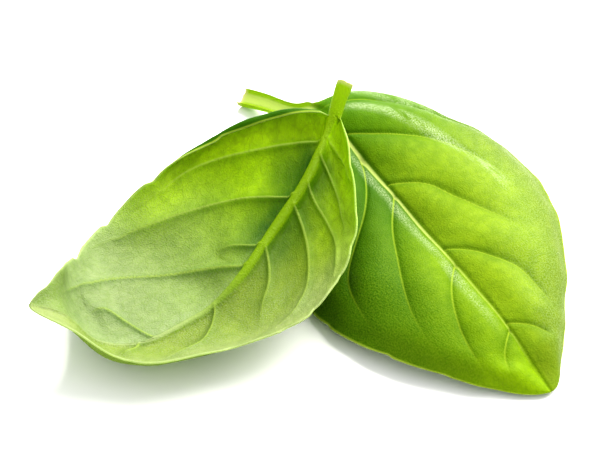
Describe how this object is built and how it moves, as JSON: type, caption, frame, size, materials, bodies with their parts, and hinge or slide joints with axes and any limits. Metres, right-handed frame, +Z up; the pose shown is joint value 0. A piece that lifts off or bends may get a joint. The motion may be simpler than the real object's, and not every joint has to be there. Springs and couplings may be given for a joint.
{
  "type": "basil bunch",
  "caption": "Small bunch of loose cut sweet-basil leaves, one lying underside up on another that lies upper side up.",
  "frame": {"origin": "on the table, under the middle of the bunch's box", "axes": "+Z up, +X towards the leaf that lies upper side up, -Y towards the blade tips"},
  "size_m": [0.0688, 0.062, 0.0155],
  "materials": {
    "leaf_underside": "matte, pale yellow-green, raised veins",
    "leaf_upper_side": "satin, waxy green, sunken veins"
  },
  "bodies": {
    "root": {"leaf_underside_up": "leaf_underside", "leaf_upper_side_up": "leaf_upper_side"}
  },
  "joints": []
}
